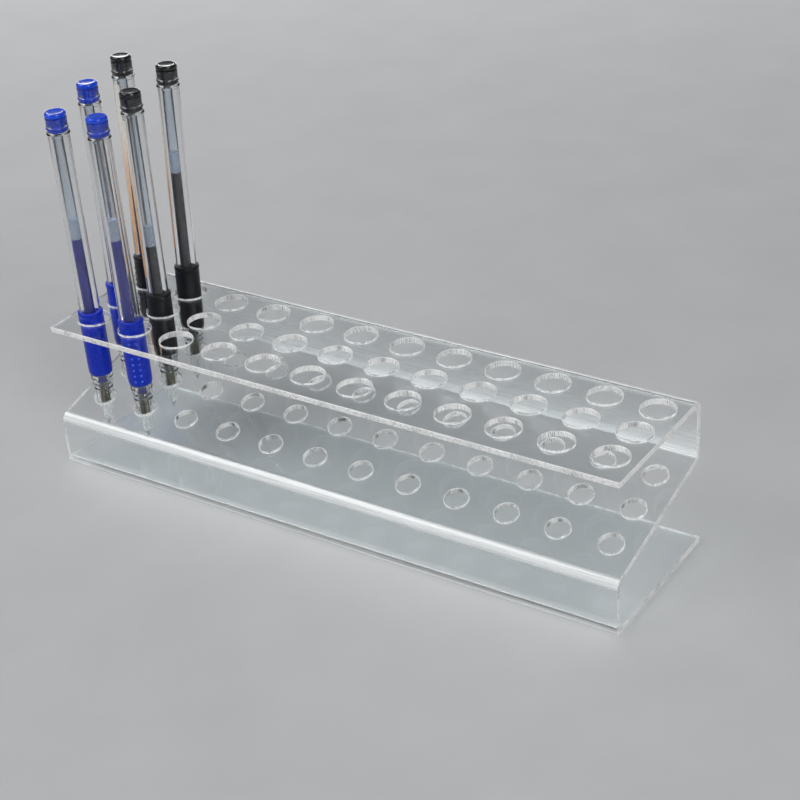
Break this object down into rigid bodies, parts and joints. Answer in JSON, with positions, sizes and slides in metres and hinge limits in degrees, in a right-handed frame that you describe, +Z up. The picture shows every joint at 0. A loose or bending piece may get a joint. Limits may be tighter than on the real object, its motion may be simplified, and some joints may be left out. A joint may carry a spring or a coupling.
{
  "type": "pen rack with gel pens",
  "caption": "Clear bent-sheet desk rack with rows of round holes in two shelves, holding capless clear-barrel gel pens that lift out.",
  "frame": {"origin": "middle of the base's underside, on the table", "axes": "+X along the rack, from the end that holds the pens to the far end; +Y from the front wall to the back wall; +Z up"},
  "size_m": [0.3, 0.0784, 0.1876],
  "materials": {
    "clear_acrylic": "polished faces, satin sawn edges",
    "clear_plastic": "polished",
    "milky_tube": "translucent satin",
    "grease": "wet",
    "steel": "turned",
    "ink_blue": "wet",
    "ink_black": "wet",
    "rubber_blue": "smooth with raised dots",
    "rubber_black": "smooth with raised dots",
    "plug_blue": "gloss",
    "plug_black": "gloss"
  },
  "bodies": {
    "rack": {"rack_sheet": "clear_acrylic"},
    "pen_a": {"pen_a_barrel": "clear_plastic", "pen_a_nose_section": "clear_plastic", "pen_a_grip": "rubber_blue", "pen_a_end_plug": "plug_blue", "pen_a_refill_tube": "milky_tube", "pen_a_point": "steel", "pen_a_ink": "ink_blue", "pen_a_follower": "grease"},
    "pen_b": {"pen_b_barrel": "clear_plastic", "pen_b_nose_section": "clear_plastic", "pen_b_grip": "rubber_blue", "pen_b_end_plug": "plug_blue", "pen_b_refill_tube": "milky_tube", "pen_b_point": "steel", "pen_b_ink": "ink_blue", "pen_b_follower": "grease"},
    "pen_c": {"pen_c_barrel": "clear_plastic", "pen_c_nose_section": "clear_plastic", "pen_c_grip": "rubber_blue", "pen_c_end_plug": "plug_blue", "pen_c_refill_tube": "milky_tube", "pen_c_point": "steel", "pen_c_ink": "ink_blue", "pen_c_follower": "grease"},
    "pen_d": {"pen_d_barrel": "clear_plastic", "pen_d_nose_section": "clear_plastic", "pen_d_grip": "rubber_black", "pen_d_end_plug": "plug_black", "pen_d_refill_tube": "milky_tube", "pen_d_point": "steel", "pen_d_ink": "ink_black", "pen_d_follower": "grease"},
    "pen_e": {"pen_e_barrel": "clear_plastic", "pen_e_nose_section": "clear_plastic", "pen_e_grip": "rubber_black", "pen_e_end_plug": "plug_black", "pen_e_refill_tube": "milky_tube", "pen_e_point": "steel", "pen_e_ink": "ink_black", "pen_e_follower": "grease"},
    "pen_f": {"pen_f_barrel": "clear_plastic", "pen_f_nose_section": "clear_plastic", "pen_f_grip": "rubber_black", "pen_f_end_plug": "plug_black", "pen_f_refill_tube": "milky_tube", "pen_f_point": "steel", "pen_f_ink": "ink_black", "pen_f_follower": "grease"}
  },
  "joints": [
    {"name": "pen_a_lift", "type": "slide", "parent": "rack", "child": "pen_a", "axis": [-0.0157, -0.0052, 0.9999], "range_m": [0, 0.07]},
    {"name": "pen_b_lift", "type": "slide", "parent": "rack", "child": "pen_b", "axis": [-0.0401, 0.0192, 0.999], "range_m": [0, 0.07]},
    {"name": "pen_c_lift", "type": "slide", "parent": "rack", "child": "pen_c", "axis": [-0.0297, 0.0262, 0.9992], "range_m": [0, 0.07]},
    {"name": "pen_d_lift", "type": "slide", "parent": "rack", "child": "pen_d", "axis": [-0.0175, 0.0175, 0.9997], "range_m": [0, 0.07]},
    {"name": "pen_e_lift", "type": "slide", "parent": "rack", "child": "pen_e", "axis": [-0.0209, 0.0471, 0.9987], "range_m": [0, 0.07]},
    {"name": "pen_f_lift", "type": "slide", "parent": "rack", "child": "pen_f", "axis": [0.0017, 0.0384, 0.9993], "range_m": [0, 0.07]}
  ]
}
